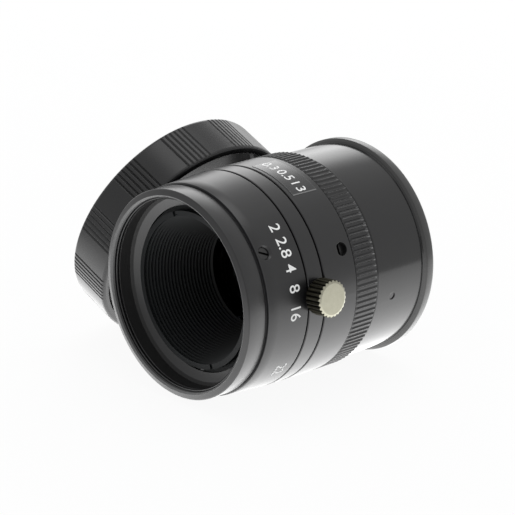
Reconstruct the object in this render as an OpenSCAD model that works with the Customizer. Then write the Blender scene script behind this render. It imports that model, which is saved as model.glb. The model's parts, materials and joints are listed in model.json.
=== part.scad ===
// A fixed-focal machine vision lens with a 1 inch screw mount, lying on its side with its caps.
// Lengths are in millimetres. The optical axis is Y, the front of the lens faces -Y and Z is up.
// The origin is the centre of the flange plane that seats against the camera.
// Inside the modules, a lens piece is drawn along its own Z: z is the distance behind the front edge.

/* [Mount] */
// Outside diameter of the camera thread
mount_thread_d = 25.4; // [25:0.1:26]
// Length of the camera thread behind the flange plane
mount_thread_length = 4; // [3.6:0.1:4.2]
// Wall of the camera thread, in to its bore
mount_wall = 1.7; // [1.6:0.05:1.8]
// Thickness of the disc that carries the flange plane
flange_t = 1.6; // [1.4:0.1:1.8]
// Step from the sleeve out to the rim of that disc
disc_step = 1.4; // [1.3:0.05:1.45]
// Wall of the sleeve that the focus ring turns on
sleeve_wall = 0.65; // [0.6:0.01:0.7]
// Distance from the focus ring's front edge to the sleeve's
sleeve_setback = 0.75; // [0.5:0.05:1]

/* [Front barrel] */
// Length of the plain band at the very front, up to its groove
front_band_length = 3; // [2.6:0.1:3.4]
// Rise of the front rim's face towards the front, from its outer edge to its mouth
rim_lip = 0.25; // [0.1:0.05:0.35]
// Step from the band out to the barrel behind it
front_band_step = 0.25; // [0.15:0.05:0.4]
// Wall of the band round the filter bore
filter_wall = 1.25; // [1:0.05:1.4]
// Depth of the filter bore, down to the shelf
filter_bore_depth = 3.2; // [2.8:0.1:3.4]
// Thickness of the shelf that carries the optics
shelf_t = 2.25; // [1.8:0.05:2.4]
// Rear edge of the barrel
barrel_length = 10.08; // [9.6:0.02:10.4]
// Rise of the barrel's radius from its front to its rear
barrel_taper = 0.4; // [0.2:0.05:0.5]
// Step from the barrel's rear edge out to the iris ring
barrel_drop = 0.05; // [0:0.01:0.1]

/* [Rings] */
// Wall of the iris ring
iris_ring_wall = 2.6; // [2.4:0.05:2.8]
// Length of the iris ring
iris_ring_length = 2.75; // [2.6:0.05:2.95]
// Wall of the plain part of the focus ring
focus_wall = 1.95; // [1.8:0.05:2.1]
// Length of the plain part of the focus ring
focus_plain_length = 5.88; // [5.6:0.02:6.2]
// Length of the grip, its front groove included
grip_length = 4.2; // [4:0.1:4.6]
// Rise of the grip's teeth over the plain part
grip_rise = 0.05; // [0:0.01:0.1]
// Number of teeth round the grip
grip_teeth = 118; // [90:1:140]
// Depth of the teeth
grip_tooth_depth = 0.2; // [0.14:0.02:0.3]
// Turn of the focus ring from far to near
focus_turn = 90; // [60:5:95]
// Forward travel of the optics over that turn
focus_travel = 0.9; // [0.6:0.05:1]
// Turn of the iris ring from open to closed
iris_turn = 45; // [38:1:46]

/* [Lock screw] */
// Diameter over the teeth of the lock screw's head
lock_head_d = 5.1; // [4.6:0.1:5.4]
// Height of the head
lock_head_h = 2.75; // [2.2:0.05:3]
// Width of the bevel round the head's face
lock_face_bevel = 0.4; // [0.25:0.05:0.5]
// Diameter of the screw's shank
lock_shank_d = 2; // [1.6:0.1:2.2]
// Direction of the lock screw, seen from the front and counted up from the side
lock_angle = 4.5; // [0:0.5:10]

/* [Optics] */
// Step from the camera thread out to the tube that carries the optics
tube_step = 0.1; // [0.08:0.01:0.12]
// Wall of that tube
tube_wall = 1; // [0.9:0.05:1.1]
// Wall of the ribbed baffle at its front
baffle_wall = 0.25; // [0.2:0.01:0.35]
// Fall of the baffle's radius from its front to its rear
baffle_fall = 3.3; // [2.8:0.1:3.6]
// Distance that the baffle's rim stands in front of the shelf
baffle_proud = 0.25; // [0.1:0.05:0.5]
// Number of ribs in the baffle
baffle_ribs = 21; // [12:1:24]
// Wall of the two cells round their glass
cell_wall = 2.17; // [2:0.01:2.3]
// Edge thickness of the first glass
glass_1_t = 1.1; // [0.9:0.05:1.3]
// Radius of its front face, bulging
glass_1_front = 50; // [45:1:80]
// Radius of its rear face, hollow
glass_1_rear = 56; // [45:1:90]
// Length of the spacer behind it
front_spacer_t = 0.8; // [0.6:0.05:1]
// Edge thickness of the second glass
glass_2_t = 1.1; // [0.9:0.05:1.3]
// Radius of its front face, bulging
glass_2_front = 60; // [50:1:90]
// Radius of its rear face, hollow
glass_2_rear = 70; // [50:1:90]
// Edge thickness of the third glass
glass_3_t = 1.6; // [1.4:0.05:1.8]
// Radius of its front face, hollow
glass_3_front = 34; // [30:1:60]
// Radius of the cemented face between the third and fourth glass
glass_cement = 50; // [40:1:80]
// Edge thickness of the fourth glass
glass_4_t = 1.5; // [1.3:0.05:1.7]
// Radius of its rear face, bulging
glass_4_rear = 75; // [60:1:90]
// Edge thickness of the fifth glass
glass_5_t = 1.2; // [1:0.05:1.4]
// Radius of its front face, bulging
glass_5_front = 80; // [60:1:90]
// Radius of its rear face, hollow
glass_5_rear = 70; // [50:1:90]

/* [Iris] */
// Number of blades
blade_count = 6; // [5:1:6]
// Radius of the smallest opening
closed_r = 0.6; // [0.5:0.05:1.2]
// Distance from the tube's bore in to the circle of blade pivots
pivot_inset = 1.6; // [1.55:0.05:1.7]
// Distance from that circle in to a blade's outer edge
blade_inset = 1.65; // [1.6:0.05:1.8]
// Width of a blade's curved band
blade_width = 3.35; // [3.2:0.05:3.5]
// Distance from a blade's pivot to its drive pin
blade_lever = 1.8; // [1.6:0.05:1.9]
// Thickness of a blade
blade_t = 0.1; // [0.06:0.01:0.11]
// Step from one blade to the next along the axis
blade_step = 0.16; // [0.15:0.01:0.18]
// Radius of a blade's two pins
blade_pin_r = 0.28; // [0.22:0.02:0.3]

/* [Caps] */
// Wall of the rear cap round the camera thread
rear_cap_wall = 2.35; // [2:0.05:2.6]
// Length of the rear cap, end flange included
rear_cap_length = 10.85; // [10:0.05:12]
// Rise of the rear cap's end flange over its side
rear_flange_rise = 0.6; // [0.5:0.05:0.9]
// Thickness of that end flange
rear_flange_t = 1.65; // [1.4:0.05:2]
// Diameter of the small round recess that the moulding gate left in the cap's side
gate_mark_d = 1.1; // [0.8:0.05:1.4]
// Depth of that recess
gate_mark_depth = 0.14; // [0.1:0.02:0.3]
// Place of that recess behind the cap's open edge
gate_mark_z = 3.13; // [2:0.01:5]
// Clearance of the front cap round the widest part of the lens that it passes
front_cap_clearance = 0.3; // [0.2:0.05:0.5]
// Wall of the front cap
front_cap_wall = 1.15; // [1:0.05:1.3]
// Depth of the front cap over all
front_cap_h = 7.3; // [6.6:0.1:8]
// Thickness of the front cap's closed end
front_cap_end_t = 1.3; // [1.1:0.05:1.6]
// Lean of the front cap, its open side down against the lens
front_cap_lean = 25.3; // [18:0.1:32]
// Turn of the front cap away from the lens axis
front_cap_turn = 1.5; // [1:0.1:2]
// Place of the front cap's rim centre along the lens axis
front_cap_y = -4.9; // [-8:0.1:-2]

/* [Fits] */
// Radial clearance of parts that turn or slide on each other
running_fit = 0.05; // [0.03:0.01:0.08]
// Radial clearance of parts that are screwed or set together
seat_fit = 0.03; // [0.01:0.01:0.04]
// Gap between the outer rings
ring_gap = 0.22; // [0.12:0.01:0.3]

/* [Hidden] */
$fn = 96;

// Small lengths that several pieces share
over = 0.5;
chamfer = 0.2;
screw_count = 3;
lock_clearance = 0.35;

// Radii of the nested pieces, each from the one inside or outside it
thread_r = mount_thread_d / 2;
mount_bore_r = thread_r - mount_wall;
tube_r = thread_r + tube_step;
tube_bore_r = tube_r - tube_wall;
sleeve_bore_r = tube_r + running_fit;
sleeve_r = sleeve_bore_r + sleeve_wall;
flange_r = sleeve_r + disc_step;
focus_bore_r = sleeve_r + running_fit;
focus_r = focus_bore_r + focus_wall;
grip_r = focus_r + grip_rise;
iris_bore_r = tube_r + running_fit;
iris_ring_r = iris_bore_r + iris_ring_wall;
barrel_rear_r = iris_ring_r - barrel_drop;
barrel_front_r = barrel_rear_r - barrel_taper;
band_r = barrel_front_r - front_band_step;
filter_r = band_r - filter_wall;
cell_r = tube_bore_r - seat_fit - 0.05;
cam_r = tube_bore_r - 0.1;
cam_bore_r = cam_r - 0.45;
front_cell_r = cam_bore_r - 0.15;
front_cell_bore_r = front_cell_r - 0.42;
front_glass_r = front_cell_r - cell_wall - seat_fit;
rear_neck_r = mount_bore_r - 0.4;
rear_glass_r = rear_neck_r - cell_wall - seat_fit;
baffle_front_r = front_cell_bore_r - seat_fit - baffle_wall;
baffle_rear_r = baffle_front_r - baffle_fall;
rear_cap_r = thread_r + running_fit + rear_cap_wall;
rear_flange_r = rear_cap_r + rear_flange_rise;
front_cap_bore_r = iris_ring_r + front_cap_clearance;
front_cap_r = front_cap_bore_r + front_cap_wall;

// Stations along the axis, measured from the front edge
shelf_z = filter_bore_depth;
shelf_end = shelf_z + shelf_t;
iris_ring_z = barrel_length + ring_gap;
iris_ring_end = iris_ring_z + iris_ring_length;
iris_ring_mid = iris_ring_z + iris_ring_length / 2;
focus_z = iris_ring_end + ring_gap;
grip_z = focus_z + focus_plain_length;
grip_groove = 0.2;
grip_end = grip_z + grip_length;
front_to_flange = grip_end + 0.25;
disc_z = front_to_flange - flange_t;
sleeve_z = focus_z + sleeve_setback;
set_screw_z = (focus_z + grip_z) / 2 + 1.2;
focus_pin_z = disc_z - 2;
tube_z = shelf_end + 0.05;
tube_end = disc_z - 0.6;
baffle_start = shelf_z - baffle_proud;
baffle_seat_z = baffle_start + 1;
baffle_end = iris_ring_end - 0.15;
cell_bore_end = baffle_end - 0.35;
glass_1_z = baffle_end + 0.45;
glass_2_z = glass_1_z + glass_1_t + front_spacer_t;
cell_lip_z = glass_2_z + glass_2_t;
cell_end = cell_lip_z + 0.5;
cam_plate_z = cell_end + 0.2;
cam_plate_t = 0.6;
blade_z = cam_plate_z + cam_plate_t + 0.12;
iris_base_z = blade_z + (blade_count - 1) * blade_step + blade_t + 0.16;
iris_base_t = 0.8;
iris_base_end = iris_base_z + iris_base_t;
rear_cell_shoulder = disc_z - 0.77;
rear_cell_end = front_to_flange + mount_thread_length - 0.2;
glass_3_z = iris_base_end + 0.6;
cement_t = 0.02;
glass_4_z = glass_3_z + glass_3_t + cement_t;
rear_ring_t = 0.8;
rear_ring_z = rear_cell_end - 0.1 - rear_ring_t;
glass_5_z = rear_ring_z - glass_5_t;

// Focus pins, their slots and their cam grooves
focus_pin_r = 0.55;
focus_pin_tip_r = sleeve_r + 0.65;
focus_pin_angles = [for (i = [0:screw_count - 1]) 60 + 360 / screw_count * i];
groove_steps = 15;

// Iris kinematics: one turn of the ring swings every blade by the same share of it
pivot_r = tube_bore_r - pivot_inset;
blade_outer_r = pivot_r - blade_inset;
blade_inner_r = blade_outer_r - blade_width;
stop_r = blade_inner_r - 0.1;
blade_swing = 2 * asin((blade_inner_r - closed_r) / (2 * pivot_r));
lever_start = 105;
blade_span = 122;
slot_steps = 14;
slot_r = blade_pin_r + running_fit;
drive_screw_r = 0.6;
drive_angle = 150;

// Place of a blade's drive pin in its own sector, for a swing of the blade
function drive_pin(swing) = [
    pivot_r + blade_lever * cos(lever_start + swing),
    blade_lever * sin(lever_start + swing)
];
function turned(p, a) = [p[0] * cos(a) - p[1] * sin(a), p[0] * sin(a) + p[1] * cos(a)];
// The same pin as the turning cam sees it: share 0 is open and share 1 is closed
function slot_point(share) = turned(drive_pin(blade_swing * share), -iris_turn * share);
function unit(v) = v / norm(v);
function slot_normal(share) =
    let (d = unit(slot_point(share + 0.01) - slot_point(share - 0.01))) [-d[1], d[0]];

// Depth of a spherical face of one radius, from its pole to the circle of another
function sag(curve, r) = curve - sqrt(curve * curve - r * r);

// Points of a straight knurl: rounded crests at the full radius, narrow roots a tooth depth below
function knurled(r, teeth, depth) = [
    for (i = [0:teeth - 1], k = [0:3])
        let (a = 360 / teeth * (i + [0, 0.28, 0.5, 0.72][k]), q = r - depth * [1, 0.3, 0, 0.3][k])
            [q * cos(a), q * sin(a)]
];

// Puts a lens piece drawn along Z onto the optical axis
module lens_axis() {
    rotate([-90, 0, 0])
        translate([0, 0, -front_to_flange])
            children();
}

// Points of a fluted grip: narrow crests at the full radius, wide flat-bottomed flutes between them
function fluted(r, count, depth, start) = [
    for (i = [0:count - 1], k = [0:3])
        let (a = start + 360 / count * (i + [-0.07, 0.07, 0.3, 0.7][k]), q = k < 2 ? r : r - depth)
            [q * cos(a), q * sin(a)]
];

// Turns a radial feature, drawn along X, up from the side by an angle seen from the front
module at_angle(angle) {
    rotate([0, 0, -angle])
        children();
}

// A plain ring from z0 to z1
module ring(outer, inner, z0, z1) {
    rotate_extrude()
        polygon([[inner, z0], [outer, z0], [outer, z1], [inner, z1]]);
}

// A radial rod along X from r0 to r1 at height z
module radial_rod(r, r0, r1, z) {
    translate([r0, 0, z])
        rotate([0, 90, 0])
            cylinder(h = r1 - r0, r = r, $fn = 32);
}

// A slotted grub screw along X, its slot in the outer end
module grub_screw(r, r0, r1, z, slot_turn) {
    slot_w = r * 0.38;
    slot_depth = r * 0.6;
    difference() {
        radial_rod(r, r0, r1, z);
        translate([r1 - slot_depth, 0, z])
            rotate([slot_turn, 0, 0])
                translate([0, -2 * r, -slot_w / 2])
                    cube([slot_depth + over, 4 * r, slot_w]);
    }
}

// A glass element between two edge planes; a positive radius bulges outwards, a negative one is hollow
module glass(rim_r, z0, z1, front_curve, rear_curve) {
    front_sag = sag(abs(front_curve), rim_r);
    rear_sag = sag(abs(rear_curve), rim_r);
    z_low = front_curve > 0 ? z0 - front_sag : z0;
    z_high = rear_curve > 0 ? z1 + rear_sag : z1;
    difference() {
        intersection() {
            translate([0, 0, z_low])
                cylinder(h = z_high - z_low, r = rim_r);
            if (front_curve > 0)
                translate([0, 0, z0 - front_sag + front_curve])
                    sphere(r = front_curve);
            if (rear_curve > 0)
                translate([0, 0, z1 + rear_sag - rear_curve])
                    sphere(r = rear_curve);
        }
        if (front_curve < 0)
            translate([0, 0, z0 + front_sag + front_curve])
                sphere(r = -front_curve);
        if (rear_curve < 0)
            translate([0, 0, z1 - rear_sag - rear_curve])
                sphere(r = -rear_curve);
    }
}

// A spacer between two glasses, its ends bevelled to seat on faces that bulge into it; 0 is no bulge
module spacer(outer, wall, z0, z1, front_bulge, rear_bulge) {
    inner = outer - wall;
    front_rise = front_bulge > 0 ? sag(front_bulge, outer) - sag(front_bulge, inner) + cement_t : 0;
    rear_rise = rear_bulge > 0 ? sag(rear_bulge, outer) - sag(rear_bulge, inner) + cement_t : 0;
    rotate_extrude()
        polygon([
            [inner, z0 + front_rise], [outer, z0 + cement_t], [outer, z1 - cement_t], [inner, z1 - rear_rise]
        ]);
}

grub_r = 0.8;
grub_sink = 0.3;
grub_countersink = 0.2;
grub_z = shelf_end - grub_r - 0.03;
grub_angle = 32.7;
grub_slot_turn = 64;
barrel_groove = 0.3;

// Front band, groove and scale barrel in one turned piece, with the filter bore and the optics shelf
module front_barrel() {
    bore_r = filter_r;
    rear_r = barrel_rear_r;
    fore_r = barrel_front_r;
    shelf_bore_r = cell_r + seat_fit;
    groove_end = front_band_length + barrel_groove;
    color("#2b2b2d")
        lens_axis()
            difference() {
                rotate_extrude()
                    polygon([
                        [bore_r + 0.2, 0.12 - rim_lip], [bore_r + 0.4, -rim_lip],
                        [band_r - 0.12, -0.03], [band_r, 0.1],
                        [band_r, front_band_length - 0.2], [band_r - 0.08, front_band_length],
                        [band_r - 0.2, front_band_length + 0.1],
                        [band_r - 0.2, groove_end - 0.06], [fore_r - 0.05, groove_end - 0.02],
                        [fore_r, groove_end + 0.06],
                        [rear_r, barrel_length - 0.1], [rear_r - 0.1, barrel_length],
                        [tube_r + seat_fit, barrel_length], [tube_r + seat_fit, shelf_end],
                        [shelf_bore_r, shelf_end], [shelf_bore_r, shelf_z],
                        [bore_r - 0.2, shelf_z], [bore_r, shelf_z - 0.2], [bore_r, 0.2]
                    ]);
                for (i = [0:screw_count - 1])
                    at_angle(grub_angle + 360 / screw_count * i) {
                        radial_rod(grub_r + seat_fit, shelf_bore_r - over, fore_r + 1, grub_z);
                        translate([fore_r - grub_countersink, 0, grub_z])
                            rotate([0, 90, 0])
                                cylinder(h = 1, r1 = grub_r, r2 = grub_r + 1, $fn = 32);
                    }
            }
}

// Slotted grub screws that lock the optics into the barrel
module barrel_grub_screws() {
    color("#4a4a4c")
        lens_axis()
            for (i = [0:screw_count - 1])
                at_angle(grub_angle + 360 / screw_count * i)
                    grub_screw(grub_r, cell_r + seat_fit, barrel_front_r - grub_sink, grub_z,
                               grub_slot_turn);
}

// Ribbed baffle with a notched rim, screwed into the front cell
module baffle_cone() {
    rim_r = baffle_front_r + 0.74;
    rib_depth = 0.28;
    notch_w = 0.5;
    notch_depth = 0.45;
    notch_angle = 110;
    body_r = front_cell_bore_r - seat_fit;
    rib_start = baffle_start + 0.15;
    pitch = (baffle_end - 0.1 - rib_start) / baffle_ribs;
    slope = (baffle_front_r - baffle_rear_r) / (baffle_end - 0.1 - rib_start);
    rib_points = [
        for (i = [0:baffle_ribs - 1], k = [0, 1])
            let (z = rib_start + pitch * (i + 0.75 * k))
                [baffle_front_r - slope * (z - rib_start) + (k == 0 ? 0 : rib_depth), z]
    ];
    color("#1a1b1d")
        lens_axis()
            difference() {
                rotate_extrude()
                    polygon(concat(
                        [[baffle_rear_r, baffle_end], [baffle_rear_r + 0.9, baffle_end],
                         [body_r, baffle_seat_z + 2.2], [body_r, baffle_seat_z],
                         [rim_r, baffle_seat_z], [rim_r, baffle_start], [baffle_front_r, baffle_start]],
                        rib_points
                    ));
                at_angle(notch_angle)
                    translate([-rim_r - 1, -notch_w / 2, baffle_start - over])
                        cube([2 * rim_r + 2, notch_w, notch_depth + over]);
                at_angle(notch_angle - 2.8)
                    translate([(baffle_front_r + rim_r) / 2 - 0.12, 0, baffle_start - over])
                        cylinder(h = 0.3 + over, r = 0.1, $fn = 16);
            }
}

// Turned cell that holds the front glass, screwed into the barrel's shelf
module front_cell() {
    glass_bore_r = front_glass_r + seat_fit;
    color("#202022")
        lens_axis()
            rotate_extrude()
                polygon([
                    [front_cell_bore_r, baffle_seat_z], [cell_r, baffle_seat_z], [cell_r, shelf_end],
                    [front_cell_r, shelf_end], [front_cell_r, cell_end - chamfer],
                    [front_cell_r - chamfer, cell_end], [front_glass_r - 1.3, cell_end],
                    [front_glass_r - 1.3, cell_lip_z], [glass_bore_r, cell_lip_z],
                    [glass_bore_r, cell_bore_end], [front_cell_bore_r, cell_bore_end]
                ]);
}

module front_element() {
    color("#23303c")
        lens_axis()
            glass(front_glass_r, glass_1_z, glass_1_z + glass_1_t, glass_1_front, -glass_1_rear);
}

module front_spacer() {
    color("#1c1c1e")
        lens_axis()
            spacer(front_glass_r, 1, glass_1_z + glass_1_t, glass_2_z, 0, glass_2_front);
}

module second_element() {
    color("#2a3542")
        lens_axis()
            glass(front_glass_r, glass_2_z, glass_2_z + glass_2_t, glass_2_front, -glass_2_rear);
}

// Tube that joins the front barrel, the iris and the rear cell, with a slot for the iris drive screw
module lens_tube() {
    slot_half_w = drive_screw_r + 0.1;
    slot_margin = 5;
    color("#38383a")
        lens_axis()
            difference() {
                ring(tube_r, tube_bore_r, tube_z, tube_end);
                rotate([0, 0, drive_angle - slot_margin])
                    rotate_extrude(angle = iris_turn + 2 * slot_margin)
                        translate([tube_bore_r - over, iris_ring_mid - slot_half_w])
                            square([tube_wall + 2 * over, 2 * slot_half_w]);
                for (a = focus_pin_angles)
                    rotate([0, 0, a])
                        radial_rod(focus_pin_r + seat_fit, tube_bore_r - over, tube_r + over, focus_pin_z);
            }
}

// Pins in the tube that pass the slots of the mount and ride in the focus ring's cam grooves
module focus_pins() {
    color("#c9b26a")
        lens_axis()
            for (a = focus_pin_angles)
                rotate([0, 0, a])
                    radial_rod(focus_pin_r, tube_bore_r + 0.2, focus_pin_tip_r, focus_pin_z);
}

// Fixed base of the iris: a cup with the stop opening and a blind pivot hole for each blade
module iris_base() {
    rim_r = tube_bore_r - 0.06;
    color("#303032")
        lens_axis()
            difference() {
                rotate_extrude()
                    polygon([
                        [stop_r, iris_base_z], [rim_r - 0.72, iris_base_z], [rim_r - 0.72, blade_z - 0.02],
                        [rim_r, blade_z - 0.02], [rim_r, iris_base_end], [stop_r + 0.3, iris_base_end],
                        [stop_r, iris_base_end - 0.4]
                    ]);
                for (i = [0:blade_count - 1])
                    rotate([0, 0, 360 / blade_count * i])
                        translate([pivot_r, 0, iris_base_z - over])
                            cylinder(h = iris_base_t - 0.1 + over, r = blade_pin_r + 0.04, $fn = 24);
            }
}

// Turning sleeve and plate with one spiral slot a blade
module iris_cam() {
    plate_end = cam_plate_z + cam_plate_t;
    sleeve_front = iris_ring_z + 0.4;
    shares = [for (i = [0:slot_steps]) i / slot_steps];
    slot_outline = concat(
        [for (q = shares) slot_point(q) + slot_r * slot_normal(q)],
        [for (i = [0:slot_steps]) let (q = 1 - i / slot_steps) slot_point(q) - slot_r * slot_normal(q)]
    );
    color("#6b6b6e")
        lens_axis()
            difference() {
                rotate_extrude()
                    polygon([
                        [cam_bore_r, sleeve_front], [cam_r, sleeve_front], [cam_r, plate_end],
                        [stop_r + 0.4, plate_end], [stop_r + 0.4, cam_plate_z], [cam_bore_r, cam_plate_z]
                    ]);
                for (i = [0:blade_count - 1])
                    rotate([0, 0, 360 / blade_count * i])
                        translate([0, 0, cam_plate_z - over])
                            union() {
                                linear_extrude(cam_plate_t + 2 * over)
                                    polygon(slot_outline);
                                for (q = [0, 1])
                                    translate(slot_point(q))
                                        cylinder(h = cam_plate_t + 2 * over, r = slot_r, $fn = 24);
                            }
                rotate([0, 0, drive_angle])
                    radial_rod(drive_screw_r + seat_fit, cam_bore_r - over, cam_r + over, iris_ring_mid);
            }
}

// Screw that ties the iris ring to the cam through the tube's slot
module iris_drive_screw() {
    color("#5a5a5c")
        lens_axis()
            rotate([0, 0, drive_angle])
                grub_screw(drive_screw_r, cam_bore_r + 0.1, iris_ring_r - 0.35, iris_ring_mid, 90);
}

// Narrow ring that turns the iris, tapped for the lock screw and the drive screw
module iris_ring() {
    ring_r = iris_ring_r;
    color("#2d2d2f")
        lens_axis()
            difference() {
                rotate_extrude()
                    polygon([
                        [iris_bore_r, iris_ring_z], [ring_r - 0.1, iris_ring_z],
                        [ring_r, iris_ring_z + 0.1], [ring_r, iris_ring_end - 0.1],
                        [ring_r - 0.1, iris_ring_end], [iris_bore_r, iris_ring_end]
                    ]);
                at_angle(lock_angle)
                    radial_rod(lock_shank_d / 2 + seat_fit, tube_r - over, ring_r + over, iris_ring_mid);
                rotate([0, 0, drive_angle])
                    radial_rod(drive_screw_r + seat_fit, tube_r - over, ring_r + over, iris_ring_mid);
            }
}

// One iris blade: a thin curved band with an ear that carries the pivot pin and the drive pin
module iris_blade(index) {
    z0 = blade_z + index * blade_step;
    ear_r = 0.55;
    pin_stub = 0.02;
    pivot_tip = iris_base_end - 0.2;
    drive_tip = cam_plate_z + 0.05;
    pin = drive_pin(0);
    color("#3c3d40")
        lens_axis()
            rotate([0, 0, 360 / blade_count * index])
                union() {
                    translate([0, 0, z0])
                        linear_extrude(blade_t)
                            union() {
                                intersection() {
                                    difference() {
                                        circle(r = blade_outer_r);
                                        circle(r = blade_inner_r);
                                    }
                                    polygon(concat([[0, 0]], [
                                        for (k = [0:4]) 2 * blade_outer_r
                                            * turned([1, 0], blade_span * k / 4 - 4)
                                    ]));
                                }
                                polygon([
                                    [blade_inner_r + 1, -0.35], [pivot_r, -0.9 * ear_r],
                                    [pivot_r + 0.85 * ear_r, 0.15], [pin[0] + 0.85 * ear_r, pin[1]],
                                    [pin[0], pin[1] + 0.85 * ear_r], [blade_inner_r + 1.5, pin[1] + 1.4]
                                ]);
                                translate([pivot_r, 0])
                                    circle(r = ear_r, $fn = 32);
                                translate(pin)
                                    circle(r = ear_r, $fn = 32);
                            }
                    translate([pivot_r, 0, z0 - pin_stub])
                        cylinder(h = pivot_tip - z0 + pin_stub, r = blade_pin_r, $fn = 24);
                    translate([pin[0], pin[1], drive_tip])
                        cylinder(h = z0 + blade_t + pin_stub - drive_tip, r = blade_pin_r, $fn = 24);
                }
}

// Knurled lock screw, its tip just off the lens tube
module lock_screw() {
    head_r = lock_head_d / 2;
    head_z = iris_ring_r + lock_clearance;
    teeth = 24;
    tooth_depth = 0.25;
    top_z = head_z + lock_head_h;
    tip_z = tube_r + 0.1;
    color("#b9b39c")
        lens_axis()
            translate([0, 0, iris_ring_mid])
                at_angle(lock_angle)
                    rotate([0, 90, 0])
                        union() {
                            intersection() {
                                translate([0, 0, head_z])
                                    linear_extrude(lock_head_h)
                                        polygon(knurled(head_r, teeth, tooth_depth));
                                rotate_extrude()
                                    polygon([
                                        [0, head_z - 1], [head_r - 0.2, head_z - 1], [head_r - 0.2, head_z],
                                        [head_r + 0.05, head_z + 0.25],
                                        [head_r + 0.05, top_z - 0.5 * lock_face_bevel],
                                        [head_r - lock_face_bevel, top_z], [0, top_z]
                                    ]);
                            }
                            translate([0, 0, tip_z])
                                cylinder(h = head_z - tip_z + over, r = lock_shank_d / 2, $fn = 32);
                        }
}

set_screw_r = 0.92;
set_screw_angle = 23.6;
set_screw_sink = 0.7;
dog_groove_depth = 0.35;
grip_start_angle = 1.9;

// Focus ring: plain front part and knurled grip in one piece, bored to turn on the mount's sleeve
module focus_ring() {
    plain_r = focus_r;
    root_r = grip_r - grip_tooth_depth;
    bore_r = focus_bore_r;
    disc_bore_r = flange_r + running_fit;
    disc_front = disc_z - 0.12;
    teeth_z = grip_z + grip_groove;
    color("#2b2b2d")
        lens_axis()
            difference() {
                union() {
                    rotate_extrude()
                        polygon([
                            [0, focus_z], [plain_r - 0.1, focus_z], [plain_r, focus_z + 0.1],
                            [plain_r, grip_z - 0.05], [plain_r - 0.3, grip_z],
                            [plain_r - 0.3, teeth_z + 0.02], [bore_r + 0.4, teeth_z + 0.02],
                            [bore_r + 0.4, teeth_z + 1], [0, teeth_z + 1]
                        ]);
                    intersection() {
                        translate([0, 0, teeth_z - 1])
                            linear_extrude(grip_end - teeth_z + 2)
                                polygon(fluted(grip_r, grip_teeth, grip_tooth_depth, -grip_start_angle));
                        rotate_extrude()
                            polygon([
                                [0, teeth_z], [root_r - 0.05, teeth_z], [grip_r + 0.1, teeth_z + 0.35],
                                [grip_r + 0.1, grip_end - 0.35], [root_r - 0.05, grip_end], [0, grip_end]
                            ]);
                    }
                }
                translate([0, 0, focus_z - over])
                    cylinder(h = grip_end - focus_z + 2 * over, r = bore_r);
                translate([0, 0, disc_front])
                    cylinder(h = grip_end - disc_front + over, r = disc_bore_r);
                for (i = [0:screw_count - 1])
                    at_angle(set_screw_angle + 360 / screw_count * i)
                        radial_rod(set_screw_r + seat_fit, bore_r - over, plain_r + over, set_screw_z);
                for (a = focus_pin_angles, i = [0:groove_steps])
                    let (share = i / groove_steps, width = 2 * (focus_pin_r + running_fit))
                        rotate([0, 0, a - focus_turn * share])
                            translate([bore_r - over, -0.9, focus_pin_z - focus_travel * share - width / 2])
                                cube([focus_pin_tip_r + 0.1 - bore_r + over, 1.8, width]);
            }
}

// Sunk set screws whose dog points run in the sleeve's groove and hold the focus ring on
module focus_set_screws() {
    color("#19191a")
        lens_axis()
            for (i = [0:screw_count - 1])
                at_angle(set_screw_angle + 360 / screw_count * i)
                    union() {
                        grub_screw(set_screw_r, sleeve_r + 0.15, focus_r - set_screw_sink,
                                   set_screw_z, 0);
                        radial_rod(0.5, sleeve_r - dog_groove_depth + 0.1, sleeve_r + 0.2, set_screw_z);
                    }
}

// Mount: camera thread, flange disc and the slotted sleeve that guides the tube and carries the focus ring
module mount_body() {
    thread_end = front_to_flange + mount_thread_length;
    groove_half_w = 0.6;
    slot_half_w = focus_pin_r + running_fit;
    slot_front = focus_pin_z - focus_travel - focus_pin_r - 0.15;
    slot_rear = focus_pin_z + focus_pin_r + 0.15;
    color("#9a9a9c")
        lens_axis()
            difference() {
                rotate_extrude()
                    polygon([
                        [sleeve_bore_r, sleeve_z], [sleeve_r, sleeve_z],
                        [sleeve_r, set_screw_z - groove_half_w],
                        [sleeve_r - dog_groove_depth, set_screw_z - groove_half_w],
                        [sleeve_r - dog_groove_depth, set_screw_z + groove_half_w],
                        [sleeve_r, set_screw_z + groove_half_w], [sleeve_r, disc_z],
                        [flange_r, disc_z], [flange_r, front_to_flange],
                        [thread_r - 0.5, front_to_flange], [thread_r - 0.5, front_to_flange + 0.5],
                        [thread_r, front_to_flange + 0.6], [thread_r, thread_end - 0.3],
                        [thread_r - 0.3, thread_end], [mount_bore_r, thread_end],
                        [mount_bore_r, disc_z], [sleeve_bore_r, disc_z]
                    ]);
                for (a = focus_pin_angles)
                    rotate([0, 0, a])
                        translate([sleeve_bore_r - over, -slot_half_w, slot_front])
                            cube([sleeve_r - sleeve_bore_r + 2 * over, 2 * slot_half_w, slot_rear - slot_front]);
            }
}

rear_bore_r = rear_glass_r + seat_fit;

// Turned cell that holds the rear glass
module rear_cell() {
    color("#202022")
        lens_axis()
            rotate_extrude()
                polygon([
                    [rear_glass_r - 1.4, iris_base_end], [cell_r, iris_base_end],
                    [cell_r, rear_cell_shoulder], [rear_neck_r, rear_cell_shoulder],
                    [rear_neck_r, rear_cell_end - chamfer], [rear_neck_r - chamfer, rear_cell_end],
                    [rear_bore_r, rear_cell_end], [rear_bore_r, glass_3_z],
                    [rear_glass_r - 1.4, glass_3_z]
                ]);
}

module third_element() {
    color("#2a3542")
        lens_axis()
            glass(rear_glass_r, glass_3_z, glass_3_z + glass_3_t, -glass_3_front, glass_cement);
}

module fourth_element() {
    color("#34404c")
        lens_axis()
            glass(rear_glass_r, glass_4_z, glass_4_z + glass_4_t, -glass_cement, glass_4_rear);
}

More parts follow.
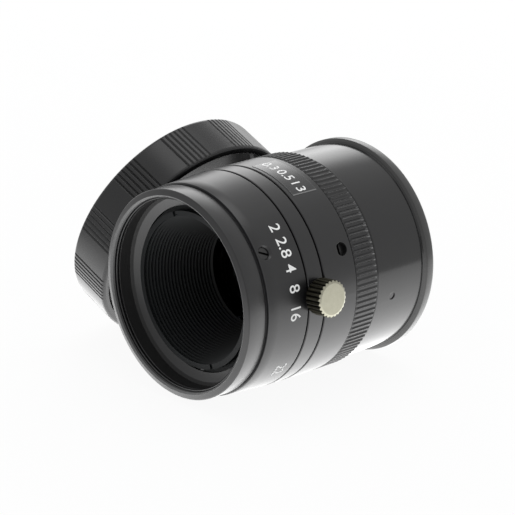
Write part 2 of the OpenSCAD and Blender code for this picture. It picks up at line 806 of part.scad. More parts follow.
module rear_spacer() {
    color("#1c1c1e")
        lens_axis()
            spacer(rear_glass_r, 0.9, glass_4_z + glass_4_t, glass_5_z, glass_4_rear, glass_5_front);
}

module fifth_element() {
    color("#2a3542")
        lens_axis()
            glass(rear_glass_r, glass_5_z, rear_ring_z, glass_5_front, -glass_5_rear);
}

module rear_retaining_ring() {
    color("#262628")
        lens_axis()
            difference() {
                ring(rear_glass_r, rear_glass_r - 1, rear_ring_z, rear_ring_z + rear_ring_t);
                translate([-rear_bore_r, -0.3, rear_cell_end - 0.45])
                    cube([2 * rear_bore_r, 0.6, 1]);
            }
}

// Moulded rear cap screwed over the camera thread
module rear_cap() {
    cap_r = rear_cap_r;
    end_r = rear_flange_r;
    cap_front = front_to_flange + 0.06;
    cap_end = cap_front + rear_cap_length;
    end_z = cap_end - rear_flange_t;
    bore_r = thread_r + running_fit;
    bore_end = front_to_flange + mount_thread_length + 0.8;
    color("#1e1e20")
        lens_axis()
            difference() {
                rotate_extrude()
                    polygon([
                        [bore_r, cap_front], [cap_r - 0.15, cap_front], [cap_r, cap_front + 0.15],
                        [cap_r, end_z], [end_r - 0.15, end_z], [end_r, end_z + 0.15],
                        [end_r, cap_end - 0.5], [end_r - 0.15, cap_end - 0.15], [end_r - 0.5, cap_end],
                        [0, cap_end], [0, end_z], [bore_r - 0.8, end_z], [bore_r - 0.8, bore_end + 0.8],
                        [bore_r, bore_end]
                    ]);
                at_angle(gate_angle)
                    radial_rod(gate_mark_d / 2, cap_r - gate_mark_depth, cap_r + over, cap_front + gate_mark_z);
            }
}

gate_angle = -9.9;
floor_z = -rear_flange_r;
cap_touch = 0.04;
cap_dir = [
    cos(front_cap_lean) * cos(front_cap_turn),
    cos(front_cap_lean) * sin(front_cap_turn),
    -sin(front_cap_lean)
];
cap_rim_z = floor_z + front_cap_r * cos(front_cap_lean);

// Sideways place of the cap's rim plane when it touches a round of radius r at y
function rim_x(r, y) =
    (-norm([cap_dir[0], cap_dir[2]]) * (r + cap_touch) + cap_dir[1] * (y - front_cap_y)
     - cap_dir[2] * cap_rim_z) / cap_dir[0];
cap_rim_x = min(
    rim_x(rear_flange_r, rear_cap_length),
    rim_x(barrel_rear_r - 0.2, front_cap_y - front_cap_r + 4)
);

// Loose front cap, moulded, leaning on the lens: closed end up and away, groups of grip grooves round it
module front_cap() {
    cap_r = front_cap_r;
    inner_r = front_cap_bore_r;
    group_count = 12;
    group_start = 17.5;
    groove_count = 6;
    groove_pitch = 2.6;
    groove_w = 0.27;
    round_r = 0.5;
    corner = [for (a = [0:30:90]) [cap_r - round_r + round_r * sin(a), round_r - round_r * cos(a)]];
    lip = [for (a = [0:30:90]) [cap_r - round_r + round_r * cos(a), front_cap_h - round_r + round_r * sin(a)]];
    color("#2e2e31")
        translate([cap_rim_x, front_cap_y, cap_rim_z])
            rotate([0, 90 + front_cap_lean, front_cap_turn])
                translate([0, 0, -front_cap_h])
                    difference() {
                        rotate_extrude()
                            polygon(concat(
                                [[0, 0]], corner, lip,
                                [[inner_r + 0.15, front_cap_h], [inner_r, front_cap_h - 0.15],
                                 [inner_r, front_cap_end_t + 0.4], [inner_r - 0.4, front_cap_end_t],
                                 [0, front_cap_end_t]]
                            ));
                        for (g = [0:group_count - 1], k = [0:groove_count - 1])
                            rotate([0, 0, group_start + 360 / group_count * g
                                          + groove_pitch * (k - (groove_count - 1) / 2)])
                                translate([cap_r, 0, -over])
                                    rotate([0, 0, 45])
                                        translate([-groove_w / 2, -groove_w / 2, 0])
                                            cube([groove_w, groove_w, front_cap_h + 2 * over]);
                    }
}

front_barrel();
barrel_grub_screws();
baffle_cone();
front_cell();
front_element();
front_spacer();
second_element();
lens_tube();
focus_pins();
iris_base();
iris_cam();
iris_drive_screw();
iris_ring();
iris_blade(0);  // iris_blade_1
iris_blade(1);  // iris_blade_2
iris_blade(2);  // iris_blade_3
iris_blade(3);  // iris_blade_4
iris_blade(4);  // iris_blade_5
iris_blade(5);  // iris_blade_6
lock_screw();
focus_ring();
focus_set_screws();
mount_body();
rear_cell();
third_element();
fourth_element();
rear_spacer();
fifth_element();
rear_retaining_ring();
rear_cap();
front_cap();
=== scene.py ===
"""The looks of a machine vision lens that lies on its side with its two caps.

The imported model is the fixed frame: the optical axis is Y, the front of the lens faces -Y, Z is up,
and the origin is the centre of the flange plane. Lengths are in metres unless a name says mm.
"""

import json
import math

import bpy
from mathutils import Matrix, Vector

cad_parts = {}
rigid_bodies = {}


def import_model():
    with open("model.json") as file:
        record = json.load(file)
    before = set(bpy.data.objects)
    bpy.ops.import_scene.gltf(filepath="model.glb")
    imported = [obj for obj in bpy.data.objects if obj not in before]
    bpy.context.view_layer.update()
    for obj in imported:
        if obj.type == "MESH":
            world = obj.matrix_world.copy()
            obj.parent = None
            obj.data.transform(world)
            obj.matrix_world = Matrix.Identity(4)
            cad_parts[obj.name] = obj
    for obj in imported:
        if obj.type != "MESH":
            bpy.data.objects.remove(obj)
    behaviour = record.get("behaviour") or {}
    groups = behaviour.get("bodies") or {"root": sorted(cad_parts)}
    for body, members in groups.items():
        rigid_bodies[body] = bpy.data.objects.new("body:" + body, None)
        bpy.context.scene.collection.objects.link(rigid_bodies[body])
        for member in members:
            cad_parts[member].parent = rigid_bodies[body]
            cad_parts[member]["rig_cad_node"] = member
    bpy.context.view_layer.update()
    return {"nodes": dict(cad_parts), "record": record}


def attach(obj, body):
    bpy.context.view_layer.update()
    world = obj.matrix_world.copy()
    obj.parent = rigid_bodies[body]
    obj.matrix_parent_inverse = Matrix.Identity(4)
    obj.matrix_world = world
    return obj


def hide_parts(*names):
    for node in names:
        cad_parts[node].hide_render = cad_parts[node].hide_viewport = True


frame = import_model()

MM = 0.001
FRONT_TO_FLANGE = 23.6
FLOOR_Z = -15.7 * MM

# Sizes in mm that the scales, threads and marks sit on, and stations s behind the front edge
BARREL_FRONT_R, BARREL_REAR_R = 15.0, 15.4
BARREL_FRONT_S, BARREL_REAR_S = 3.4, 10.0
FOCUS_R = 15.5
FILTER_R = 13.5
CAMERA_THREAD_R = 12.7
CAMERA_THREAD_ROOT_R = 12.22
CAMERA_THREAD_PITCH = 25.4 / 32
LOCK_SCREW_S = 11.675
LOCK_SCREW_ANGLE = 4.5
LOCK_FACE = 18.55
REAR_CAP_R, REAR_FLANGE_S, REAR_CAP_END_S = 15.1, 32.86, 34.51
LABEL_FIRST, LABEL_LAST = 89.8, 57.6
LABEL_FRONT_S, LABEL_REAR_S = 13.93, 18.3
SHELF_S, SHELF_R = 3.2, 13.05
BAFFLE_FIRST_RIB_S = 3.1
BAFFLE_RIB_PITCH = 0.4619


def lens_y(s):
    """Place on the optical axis of a station s mm behind the front edge."""
    return (s - FRONT_TO_FLANGE) * MM


def around(radius, azimuth, s):
    """Point at a radius in mm, an azimuth in degrees counted up from +X, and a station."""
    a = math.radians(azimuth)
    return Vector((radius * MM * math.cos(a), lens_y(s), radius * MM * math.sin(a)))


# Shader helpers


class Value:
    """A number that varies over a surface. Arithmetic on it adds Math nodes."""

    def __init__(self, graph, socket):
        self.graph, self.socket = graph, socket

    def math(self, operation, *terms):
        return self.graph.node("ShaderNodeMath", {"operation": operation}, dict(enumerate(terms)))

    def __add__(self, other):
        return self.math("ADD", self, other)

    __radd__ = __add__

    def __sub__(self, other):
        return self.math("SUBTRACT", self, other)

    def __rsub__(self, other):
        return self.math("SUBTRACT", other, self)

    def __mul__(self, other):
        return self.math("MULTIPLY", self, other)

    __rmul__ = __mul__

    def __truediv__(self, other):
        return self.math("DIVIDE", self, other)

    def __pow__(self, other):
        return self.math("POWER", self, other)

    def over(self, edge):
        """1 where the number is above the edge, else 0."""
        return self.math("GREATER_THAN", self, edge)

    def between(self, low, high):
        return self.over(low) * (1 - self.over(high))

    def at_least(self, other):
        return self.math("MAXIMUM", self, other)

    def clamped(self):
        return self.graph.node("ShaderNodeClamp", feeds={0: self})

    def ramp(self, low, high):
        """Rises evenly from 0 at one number to 1 at another."""
        return ((self - low) / (high - low)).clamped()

    def sine(self):
        return self.math("SINE", self)


class Graph:
    """The nodes of one material, lamp or room."""

    def __init__(self, tree):
        self.tree = tree
        self.tree.nodes.clear()

    def node(self, kind, settings=None, feeds=None, out=0):
        """Adds a node: its settings first, then the values or links of its sockets."""
        made = self.tree.nodes.new(kind)
        for key, value in (settings or {}).items():
            if key == "stops":
                self.fill_ramp(made.color_ramp, value)
            else:
                setattr(made, key, value)
        for key, value in (feeds or {}).items():
            self.feed(made.inputs[key], value)
        return Value(self, made.outputs[out] if made.outputs else None)

    def fill_ramp(self, ramp, stops):
        while len(ramp.elements) < len(stops):
            ramp.elements.new(0.5)
        for element, (position, colour) in zip(ramp.elements, stops):
            element.position = position
            element.color = (*colour, 1)

    def feed(self, socket, value):
        if isinstance(value, Value):
            self.tree.links.new(value.socket, socket)
        elif isinstance(value, tuple) and len(value) == 3 and socket.type == "RGBA":
            socket.default_value = (*value, 1)
        else:
            socket.default_value = value

    def blend(self, factor, first, second):
        """Mixes two colours by a factor."""
        return self.node("ShaderNodeMix", {"data_type": "RGBA"}, {"Factor": factor, 6: first, 7: second}, out=2)

    def seen_by(self, *rays):
        """1 for these kinds of ray, such as Camera and Glossy, else 0."""
        flags = [self.node("ShaderNodeLightPath", out=f"Is {ray} Ray") for ray in rays]
        for flag in flags[1:]:
            flags[0] = flags[0].at_least(flag)
        return flags[0]

    def split(self, vector):
        parts = self.node("ShaderNodeSeparateXYZ", feeds={0: vector}).socket.node
        return tuple(Value(self, parts.outputs[k]) for k in range(3))

    def join(self, x, y, z):
        return self.node("ShaderNodeCombineXYZ", feeds={0: x, 1: y, 2: z})


class Finish(Graph):
    """One material: a Principled shader and the nodes that drive it."""

    def __init__(self, name, **constants):
        self.material = bpy.data.materials.new(name)
        self.material.use_nodes = True
        super().__init__(self.material.node_tree)
        shader = self.node("ShaderNodeBsdfPrincipled")
        self.shader = shader.socket.node
        self.node("ShaderNodeOutputMaterial", feeds={"Surface": shader})
        self.place = self.node("ShaderNodeTexCoord", out="Object")
        for socket, value in constants.items():
            self.drive(socket.replace("_", " "), value)

    def drive(self, socket, value):
        self.feed(self.shader.inputs[socket], value)

    def noise(self, scale, detail=2.0, roughness=0.5, vector=None):
        return self.node(
            "ShaderNodeTexNoise",
            feeds={"Vector": vector or self.place, "Scale": scale, "Detail": detail, "Roughness": roughness},
        )

    def lens_round(self):
        """Radius from the optical axis in mm, station behind the front edge in mm, and turn in radians."""
        x, y, z = self.split(self.place)
        return (x * x + z * z) ** 0.5 / MM, y / MM + FRONT_TO_FLANGE, x.math("ARCTAN2", z, x)

    def turned_lines(self, pitch, radius, station):
        """Fine marks of the cutting tool, running round the axis on sides and faces alike."""
        return self.noise(1 / pitch, 3.0, 0.6, self.join(radius, station, 0.0))

    def soft_edges(self, radius):
        """The normal with every sharp edge broken to a small radius in metres."""
        return self.node("ShaderNodeBevel", {"samples": 6}, {"Radius": radius})

    def bump(self, height, depth, under=None):
        feeds = {"Height": height, "Distance": depth}
        if under is not None:
            feeds["Normal"] = under
        return self.node("ShaderNodeBump", feeds=feeds)


def anodised():
    """Black anodised aluminium: satin, with faint turning lines and a fine etched grain. Inside the filter
    thread it is duller and darker with painted shade, the channel behind the front band is paler with
    painted light, and the lip's inner edge has a painted highlight."""
    finish = Finish("satin_black", IOR=1.46)
    radius, station, turn = finish.lens_round()
    cloud = finish.noise(420.0, 3.0, 0.55)
    grain = finish.noise(16000.0, 2.0, 0.5)
    tone = finish.blend(cloud, (0.0045, 0.0045, 0.0049), (0.008, 0.008, 0.0087))
    # painted shade: inside the filter thread the tone is painted darker; the added roughness is real
    dull_thread_painted_shade = station.between(0.95, SHELF_S + 0.1) * radius.between(SHELF_R, FILTER_R + 0.1)
    # painted highlight: the lip's inner edge is painted pale
    lip_painted_highlight = (1 - station.over(-0.02)) * (1 - radius.over(FILTER_R + 0.43))
    # painted light: the channel behind the front band is painted paler to lift its shade
    channel_painted_light = station.between(BARREL_FRONT_S - 0.28, BARREL_FRONT_S - 0.02) * radius.over(14.0)
    tone = finish.blend(dull_thread_painted_shade, finish.blend(lip_painted_highlight, tone, (0.10, 0.10, 0.10)), (0.002, 0.002, 0.002))
    finish.drive("Base Color", finish.blend(channel_painted_light, tone, (0.016, 0.016, 0.017)))
    finish.drive("Roughness", 0.32 + 0.05 * (cloud - 0.5) + 0.04 * (grain - 0.5) + 0.35 * dull_thread_painted_shade)
    turned = finish.bump(finish.turned_lines(0.11, radius, station), 0.0000010, under=finish.soft_edges(0.1 * MM))
    finish.drive("Normal", finish.bump(grain, 0.0000006, under=turned))
    return finish.material


def matt_black():
    """Matt black paint inside the lens, with painted highlights on the rib tops and painted shade that deepens away
    from the front.
    """
    finish = Finish("matt_black", IOR=1.35, Specular_IOR_Level=0.2)
    radius, station, turn = finish.lens_round()
    grain = finish.noise(9000.0, 3.0, 0.6)
    wave = ((station - BAFFLE_FIRST_RIB_S) * (2 * math.pi / BAFFLE_RIB_PITCH)).sine()
    # painted shade: the paint grows darker deeper into the lens
    painted_shade_fade = 1 - station.ramp(3.5, 11.0)
    # painted highlight: the rib tops are painted paler
    rib_top_painted_highlight = station.between(2.9, 12.9) * wave.ramp(0.2, 1.0)
    tone = finish.blend(grain, (0.0070, 0.0078, 0.0082), (0.0095, 0.0106, 0.0110))
    rib_painted_highlights = finish.blend(rib_top_painted_highlight, tone, (0.024, 0.0265, 0.0272))
    finish.drive("Base Color", finish.blend(painted_shade_fade, (0.0022, 0.0024, 0.0025), rib_painted_highlights))
    finish.drive("Roughness", 0.55 + 0.1 * (grain - 0.5))
    finish.drive("Normal", finish.bump(grain, 0.0000012))
    return finish.material


def machined(name, dark, light, rough, line_depth, base=0.0):
    """Bare, plated or blackened metal with turning lines and a slightly uneven tone."""
    finish = Finish(name, Metallic=1.0 - base)
    radius, station, turn = finish.lens_round()
    cloud = finish.noise(600.0, 3.0, 0.6)
    lines = finish.turned_lines(0.09, radius, station)
    finish.drive("Base Color", finish.blend(cloud, dark, light))
    finish.drive("Roughness", rough + 0.08 * (lines - 0.5) + 0.05 * (cloud - 0.5))
    finish.drive("Normal", finish.bump(lines, line_depth))
    return finish.material


def moulded(name, ior, dark, light, rough, skin_scale, skin_depth, edge, rim_r=None):
    """Moulded plastic: an even dark tone under a skin that isn't quite flat, with rounded edges.
    Past the radius rim_r in mm it is rougher from handling, and its tone is painted paler as a painted reflection."""
    finish = Finish(name, IOR=ior)
    cloud = finish.noise(260.0, 2.0, 0.5)
    skin = finish.noise(skin_scale, 2.0, 0.5)
    fine = finish.noise(9000.0, 2.0, 0.5)
    scuff = finish.noise(2600.0, 4.0, 0.7).ramp(0.62, 0.75)
    tone = finish.blend(cloud, dark, light)
    rough_rim_painted_reflection = 0.0
    if rim_r:
        radius, station, turn = finish.lens_round()
        # painted reflection: past rim_r the tone is painted paler; the added roughness is real
        rough_rim_painted_reflection = radius.over(rim_r)
        tone = finish.blend(rough_rim_painted_reflection, tone, (0.024, 0.024, 0.0235))
    finish.drive("Base Color", tone)
    finish.drive("Roughness", rough + 0.05 * (cloud - 0.5) + 0.04 * (fine - 0.5) + 0.05 * scuff + 0.14 * rough_rim_painted_reflection)
    soft = finish.bump(skin, skin_depth, under=finish.soft_edges(edge * MM))
    finish.drive("Normal", finish.bump(fine, skin_depth * 0.04, under=soft))
    return finish.material


def nickel():
    """Nickel plate with a warm cast: faint rings on the head's face, and painted shade on its knurled side, darkest at
    the roots.
    """
    finish = Finish("knurled_nickel", Metallic=1.0)
    centred = finish.node(
        "ShaderNodeMapping",
        {"vector_type": "POINT"},
        {"Vector": finish.place, "Location": (0, -lens_y(LOCK_SCREW_S), 0),
         "Rotation": (0, math.radians(LOCK_SCREW_ANGLE), 0)},
    )
    out, side, up = finish.split(centred)
    radius = (side * side + up * up) ** 0.5 / MM
    cloud = finish.noise(1500.0, 3.0, 0.6)
    rings = finish.noise(1 / 0.12, 2.0, 0.5, finish.join(radius, out / MM, 0.0))
    tone = finish.blend(cloud, (0.25, 0.243, 0.19), (0.32, 0.312, 0.25))
    side_face = 1 - out.over((LOCK_FACE - 0.24) * MM)
    # painted shade: the knurled side is painted dark, darkest at the roots
    knurl_painted_shade = finish.blend(radius.ramp(2.34, 2.5), (0.012, 0.012, 0.009), (0.075, 0.071, 0.052))
    finish.drive("Base Color", finish.blend(side_face, tone, knurl_painted_shade))
    finish.drive("Roughness", 0.34 + 0.12 * (cloud - 0.5) + 0.1 * (rings - 0.5))
    finish.drive("Normal", finish.bump(rings, 0.000002))
    return finish.material


def coated_glass():
    """Optical glass with a quarter-wave coating and a few specks of dust."""
    finish = Finish("coated_glass", Roughness=0.0, IOR=1.45, Transmission_Weight=1.0,
                    Thin_Film_Thickness=112.0, Thin_Film_IOR=1.22)
    dust = finish.noise(5200.0, 2.0, 0.5).ramp(0.72, 0.78)
    finish.drive("Base Color", finish.blend(dust, (0.97, 0.985, 0.98), (0.86, 0.87, 0.87)))
    return finish.material


def scale_paint():
    """White paint in the scales, a little uneven at its edges."""
    finish = Finish("scale_white", IOR=1.45)
    speck = finish.noise(9000.0, 3.0, 0.6)
    finish.drive("Base Color", finish.blend(speck, (0.78, 0.78, 0.77), (0.90, 0.90, 0.89)))
    finish.drive("Roughness", 0.5 + 0.2 * (speck - 0.5))
    finish.drive("Normal", finish.bump(speck, 0.000004))
    return finish.material


def label_film():
    """Thin black film with a little more gloss than the ring below it, and painted highlights along its cut edges."""
    finish = Finish("label_film", IOR=1.5)
    cloud = finish.noise(700.0, 2.0, 0.5)
    weave = finish.noise(14000.0, 2.0, 0.5)
    radius, station, turn = finish.lens_round()
    end_painted_highlight = 1 - turn.between(math.radians(LABEL_LAST + 0.7), math.radians(LABEL_FIRST - 0.5))
    sides = 1 - station.between(LABEL_FRONT_S + 0.08, LABEL_REAR_S - 0.08)
    film = finish.blend(cloud, (0.009, 0.009, 0.0097), (0.013, 0.013, 0.0138))
    # painted highlight: the film's cut edges are painted pale
    finish.drive("Base Color", finish.blend(end_painted_highlight.at_least(0.3 * sides), film, (0.15, 0.15, 0.15)))
    finish.drive("Roughness", 0.24 + 0.05 * (cloud - 0.5))
    finish.drive("Normal", finish.bump(weave, 0.0000004))
    return finish.material


FINISHES = {
    "barrel_black": anodised(),
    "matt_black": matt_black(),
    "inner_metal": machined("grey_anodised", (0.10, 0.10, 0.105), (0.17, 0.17, 0.175), 0.42, 0.000001, 0.4),
    "bare_aluminium": machined("turned_aluminium", (0.58, 0.58, 0.59), (0.70, 0.70, 0.71), 0.28, 0.0000016),
    "cam_steel": machined("blued_steel", (0.045, 0.047, 0.052), (0.075, 0.078, 0.085), 0.36, 0.0000012),
    "blade_steel": machined("blackened_spring_steel", (0.045, 0.045, 0.05), (0.075, 0.075, 0.08), 0.34, 0.0000004),
    "dark_screws": machined("blackened_steel", (0.035, 0.035, 0.035), (0.06, 0.06, 0.06), 0.34, 0.000001),
    "brass_pins": machined("turned_brass", (0.62, 0.44, 0.19), (0.74, 0.56, 0.27), 0.25, 0.000001),
    "nickel_screw": nickel(),
    "coated_glass": coated_glass(),
    "rear_cap_plastic": moulded("gloss_cap", 1.46, (0.005, 0.005, 0.0053), (0.0075, 0.0075, 0.0079), 0.14, 700.0, 0.0000030,
                                0.1, rim_r=15.35),
    "front_cap_plastic": moulded("satin_cap", 1.39, (0.007, 0.007, 0.0074), (0.010, 0.010, 0.0105), 0.27, 1500.0, 0.0000012,
                                 0.1),
    "scale_paint": scale_paint(),
}
LABEL_FILM = label_film()


# Modelling helpers


def deselect():
    if bpy.context.mode != "OBJECT":
        bpy.ops.object.mode_set(mode="OBJECT")
    bpy.ops.object.select_all(action="DESELECT")


def work_on(*pieces):
    """Selects these pieces alone, the first one active."""
    deselect()
    for piece in pieces:
        piece.select_set(True)
    bpy.context.view_layer.objects.active = pieces[0]


def edit_all(piece):
    """Opens a piece in edit mode with all of it selected."""
    work_on(piece)
    bpy.ops.object.mode_set(mode="EDIT")
    bpy.ops.mesh.select_all(action="SELECT")


def settle(piece):
    """Puts the object's place, turn and size into its mesh."""
    work_on(piece)
    bpy.ops.object.transform_apply(location=True, rotation=True, scale=True)
    return piece


def mend(piece):
    """Merges doubles and turns the faces outwards."""
    edit_all(piece)
    bpy.ops.mesh.remove_doubles(threshold=1e-6)
    bpy.ops.mesh.normals_make_consistent(inside=False)
    bpy.ops.object.mode_set(mode="OBJECT")
    return piece


def dress(piece, name, body, slot, material=None):
    """Names a finished piece, gives it its finish and lets it ride on its body."""
    piece.name = piece.data.name = name
    piece.data.materials.clear()
    piece.data.materials.append(material or FINISHES[slot])
    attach(piece, body)
    return piece


def thread_turns(crest_r, depth, width, pitch, start, turns, steps, inward):
    """The ridge of a screw thread: a triangle of the ridge's section swept round the optical axis.
    Sizes are in mm, and start is the station of the first crest."""
    deselect()
    sink = 0.04
    side = -1 if inward else 1
    height = depth + sink
    bpy.ops.mesh.primitive_circle_add(
        vertices=3, radius=1, location=((crest_r - side * height * 2 / 3) * MM, lens_y(start), 0),
        rotation=(0, 0, -side * math.pi / 2),
    )
    ridge = bpy.context.object
    ridge.scale = (width / math.sqrt(3) * MM, height / 1.5 * MM, 1)
    settle(ridge)
    screw = ridge.modifiers.new("thread", "SCREW")
    screw.axis = "Y"
    screw.angle = 2 * math.pi
    screw.screw_offset = pitch * MM
    screw.iterations = turns
    screw.steps = screw.render_steps = steps
    screw.use_normal_calculate = True
    work_on(ridge)
    bpy.ops.object.modifier_apply(modifier="thread")
    edit_all(ridge)
    bpy.ops.mesh.fill_holes(sides=3)
    return mend(ridge)


def flat_text(words, height, u, s, stroke):
    """Figures lying flat, read along u, their feet at station s."""
    deselect()
    bpy.ops.object.text_add(location=(0, 0, 0))
    figure = bpy.context.object
    figure.data.body = words
    figure.data.size = height / 0.72
    figure.data.align_x = "CENTER"
    figure.data.extrude = 0.02 * MM
    figure.data.offset = stroke
    figure.data.resolution_u = 4
    bpy.ops.object.convert(target="MESH")
    figure = bpy.context.object
    figure.location = (u, s, 0)
    return settle(figure)


def wrap_on(piece, radius_at, azimuth, rise):
    """Cuts flat work into strips and lays it round the lens, reading downwards from an azimuth."""
    work_on(piece)
    strip = 0.3 * MM
    across = [vertex.co.x for vertex in piece.data.vertices]
    cut = math.floor(min(across) / strip) * strip
    bpy.ops.object.mode_set(mode="EDIT")
    while cut < max(across):
        bpy.ops.mesh.select_all(action="SELECT")
        bpy.ops.mesh.bisect(plane_co=(cut, 0, 0), plane_no=(1, 0, 0))
        cut += strip
    bpy.ops.object.mode_set(mode="OBJECT")
    for vertex in piece.data.vertices:
        u, s, height = vertex.co
        radius = radius_at(s / MM)
        turn = azimuth - math.degrees(u / (radius * MM))
        vertex.co = around(radius + (height + rise) / MM, turn, s / MM)
    return mend(piece)


def barrel_radius(s):
    share = (s - BARREL_FRONT_S) / (BARREL_REAR_S - BARREL_FRONT_S)
    return BARREL_FRONT_R + share * (BARREL_REAR_R - BARREL_FRONT_R)


def focus_radius(s):
    return FOCUS_R


def arc(degrees, radius):
    return math.radians(degrees) * radius * MM


def scale_figures(name, body, radius_at, figures, height, s_mm, rise=0.0, stroke=-0.012):
    """A row of numbers round the lens. Each is (number, azimuth)."""
    mean = radius_at(s_mm + height / 2)
    top = figures[0][1]
    parts = [
        flat_text(words, height * MM, arc(top - azimuth, mean), s_mm * MM, stroke * MM)
        for words, azimuth in figures
    ]
    work_on(*parts)
    bpy.ops.object.join()
    row = wrap_on(parts[0], radius_at, top, rise * MM)
    return dress(row, name, body, "scale_paint")


def label_sheet(name, body, radius_at, first, last, front_s, rear_s, thickness):
    """A thin film with softened edges, laid round a ring between two azimuths."""
    deselect()
    mean = radius_at((front_s + rear_s) / 2)
    length = arc(first - last, mean)
    bpy.ops.mesh.primitive_cube_add(
        size=1, location=(length / 2, (front_s + rear_s) / 2 * MM, 0),
        scale=(length, (rear_s - front_s) * MM, thickness * MM),
    )
    film = settle(bpy.context.object)
    edit_all(film)
    bpy.ops.mesh.bevel(offset=thickness * 0.35 * MM, segments=2, affect="EDGES")
    bpy.ops.object.mode_set(mode="OBJECT")
    wrap_on(film, radius_at, first, thickness * 0.4 * MM)
    return dress(film, name, body, "barrel_black", LABEL_FILM)


def copy_of(node):
    """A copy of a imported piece, its doubles merged, as the start of a finer one."""
    work_on(frame["nodes"][node])
    bpy.ops.object.duplicate()
    piece = bpy.context.object
    del piece["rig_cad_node"]
    piece.parent = None
    bpy.ops.mesh.customdata_custom_splitnormals_clear()
    edit_all(piece)
    bpy.ops.mesh.remove_doubles(threshold=1e-7)
    bpy.ops.mesh.select_mode(type="VERT")
    bpy.ops.object.mode_set(mode="OBJECT")
    return piece


def pick(piece, test):
    """Opens a piece in edit mode with the points selected whose radius and station in mm pass a test."""
    edit_all(piece)
    bpy.ops.mesh.select_all(action="DESELECT")
    bpy.ops.object.mode_set(mode="OBJECT")
    for vertex in piece.data.vertices:
        x, y, z = vertex.co
        vertex.select = test(math.hypot(x, z) / MM, y / MM + FRONT_TO_FLANGE)
    bpy.ops.object.mode_set(mode="EDIT")


def stand_in(piece, name, body, slot, node):
    """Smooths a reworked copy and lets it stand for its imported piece."""
    work_on(piece)
    bpy.ops.object.shade_smooth_by_angle(angle=math.radians(30))
    dress(piece, name, body, slot)
    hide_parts(node)


def camera_mount():
    """The mount body with its camera thread turned down to the root, and real turns on it."""
    mount = copy_of("mount_body")
    pick(mount, lambda radius, station: station > FRONT_TO_FLANGE + 0.3 and radius > CAMERA_THREAD_R - 0.05)
    shrink = CAMERA_THREAD_ROOT_R / CAMERA_THREAD_R
    bpy.ops.transform.resize(value=(shrink, 1, shrink), center_override=(0, 0, 0))
    stand_in(mount, "camera_mount", "mount", "bare_aluminium", "mount_body")
    turns = thread_turns(CAMERA_THREAD_R, CAMERA_THREAD_R - CAMERA_THREAD_ROOT_R, 0.74, CAMERA_THREAD_PITCH,
                         FRONT_TO_FLANGE + 0.75, 3, 96, False)
    dress(turns, "camera_thread_turns", "mount", "bare_aluminium")


def dished_barrel():
    """The front barrel with its shelf dished towards the optics."""
    barrel = copy_of("front_barrel")
    pick(barrel, lambda radius, station: radius < SHELF_R and abs(station - SHELF_S) < 0.03)
    bpy.ops.transform.translate(value=(0, 0.5 * MM, 0))
    stand_in(barrel, "scale_barrel", "optics", "barrel_black", "front_barrel")


def sloped_rear_cap():
    """The rear cap with a slope up to its flange and a shallow recess in its end."""
    cap = copy_of("rear_cap")
    pick(cap, lambda radius, station: abs(radius - REAR_CAP_R) < 0.03 and abs(station - REAR_FLANGE_S) < 0.03)
    bpy.ops.transform.translate(value=(0, -0.2 * MM, 0))
    pick(cap, lambda radius, station: station > REAR_CAP_END_S - 0.03)
    bpy.ops.mesh.select_mode(type="FACE")
    bpy.ops.mesh.inset(thickness=2.3 * MM)
    bpy.ops.mesh.inset(thickness=0.12 * MM, depth=-0.18 * MM)
    stand_in(cap, "screwed_rear_cap", "cap_rear", "rear_cap_plastic", "rear_cap")


# The camera, which stands where the photograph was taken from

CAMERA_PLACE = Vector((0.21851, -0.20978, 0.10029))
CAMERA_AIM = Vector((-0.6985, 0.6431, -0.3140))
CAMERA_LENS_MM = 156.3

camera_data = bpy.data.cameras.new("studio_camera")
camera_data.lens = CAMERA_LENS_MM
camera_data.sensor_width = 36.0
camera_data.clip_start = 0.01
camera_data.clip_end = 10.0
camera = bpy.data.objects.new("studio_camera", camera_data)
camera.location = CAMERA_PLACE
camera.rotation_euler = CAMERA_AIM.to_track_quat("-Z", "Y").to_euler()
bpy.context.scene.collection.objects.link(camera)
bpy.context.scene.camera = camera
bpy.context.scene.view_settings.view_transform = "Standard"

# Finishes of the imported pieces

SLOT_OF_NODE = {part["node"]: part["material_slot"] for part in frame["record"]["subparts"]}
for node, piece in frame["nodes"].items():
    for holder in piece.material_slots:
        holder.material = FINISHES[SLOT_OF_NODE[node]]

# Threads

filter_turns = thread_turns(FILTER_R - 0.24, 0.24, 0.42, 0.5, 0.32, 2, 96, True)
dress(filter_turns, "filter_thread_turns", "optics", "barrel_black")
camera_mount()

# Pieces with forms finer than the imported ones

dished_barrel()
sloped_rear_cap()

# Scales and marks

scale_figures("aperture_scale", "optics", barrel_radius,
              [("2", 43.5), ("2.8", 32.5), ("4", 21.5), ("8", 11.0), ("16", -1.5), ("22", -38.0)], 1.75, 7.1, stroke=0.006)
label_sheet("focus_label", "focus", focus_radius, LABEL_FIRST, LABEL_LAST, LABEL_FRONT_S, LABEL_REAR_S, 0.06)
scale_figures("focus_scale", "focus", focus_radius,
              [("0.3", 84.3), ("0.5", 73.0), ("1", 65.3), ("3", 60.6)], 1.6, 15.3, rise=0.055, stroke=0.006)


# The studio: pale floor, soft light from above, a pale room around


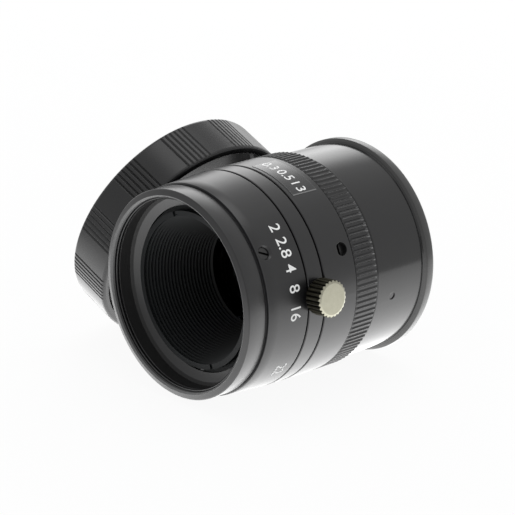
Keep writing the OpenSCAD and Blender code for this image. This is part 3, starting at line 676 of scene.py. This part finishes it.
def make_floor():
    deselect()
    bpy.ops.mesh.primitive_plane_add(size=1.6, location=(0, 0, FLOOR_Z))
    floor = bpy.context.object
    floor.name = "studio_floor"
    material = bpy.data.materials.new("pale_floor")
    material.use_nodes = True
    graph = Graph(material.node_tree)
    matte = graph.node("ShaderNodeBsdfDiffuse", feeds={"Color": (0.86, 0.86, 0.86)})
    glow = graph.node("ShaderNodeEmission", feeds={"Strength": 1.0})
    share = (graph.seen_by("Camera") * 0.93).at_least(graph.seen_by("Glossy", "Transmission"))
    mixed = graph.node("ShaderNodeMixShader", feeds={0: share, 1: matte, 2: glow})
    graph.node("ShaderNodeOutputMaterial", feeds={"Surface": mixed})
    floor.data.materials.append(material)


def make_room():
    world = bpy.data.worlds.new("pale_room")
    bpy.context.scene.world = world
    world.use_nodes = True
    graph = Graph(world.node_tree)
    seen = graph.node("ShaderNodeBackground", feeds={"Color": (1, 1, 1), "Strength": 1.0})
    fill = graph.node("ShaderNodeBackground", feeds={"Color": (0.98, 0.99, 1), "Strength": 0.8})
    mixed = graph.node("ShaderNodeMixShader",
                       feeds={0: graph.seen_by("Camera", "Glossy", "Transmission"), 1: fill, 2: seen})
    graph.node("ShaderNodeOutputWorld", feeds={"Surface": mixed})


def soft_lamp(name, place, aim, width, height, radiance, edge, rim=0.0, only_gloss=False):
    """A soft box that gives its radiance in the middle and fades to rim times that over a share edge."""
    data = bpy.data.lights.new(name, "AREA")
    data.shape = "RECTANGLE"
    data.size, data.size_y = width, height
    data.energy = 4 * width * height * radiance
    data.use_nodes = True
    graph = Graph(data.node_tree)
    across, along, deep = graph.split(graph.node("ShaderNodeNewGeometry", out="Parametric"))
    fade = 1.0
    for way in (across, along):
        fade = fade * way.ramp(0.0, edge) * (1 - way.ramp(1.0 - edge, 1.0))
    glow = graph.node("ShaderNodeEmission", feeds={"Strength": rim + (1 - rim) * fade})
    graph.node("ShaderNodeOutputLight", feeds={"Surface": glow})
    lamp = bpy.data.objects.new(name, data)
    lamp.location = place
    lamp.rotation_euler = (Vector(aim) - Vector(place)).to_track_quat("-Z", "Y").to_euler()
    lamp.visible_camera = False
    lamp.visible_diffuse = not only_gloss
    bpy.context.scene.collection.objects.link(lamp)


make_floor()
make_room()
soft_lamp("overhead_softbox", (0.0, 0.05, 0.6), (0, 0, 0), 0.5, 0.5, 1.3, 0.2)
soft_lamp("rear_softbox", (-0.34, 0.34, 0.21), (0, 0, 0), 0.5, 0.42, 1.5, 0.35)
soft_lamp("table_glow", (0.0, -0.005, FLOOR_Z + 0.0003), (0, -0.005, 0), 0.15, 0.17, 1.7, 0.4, rim=0.5, only_gloss=True)
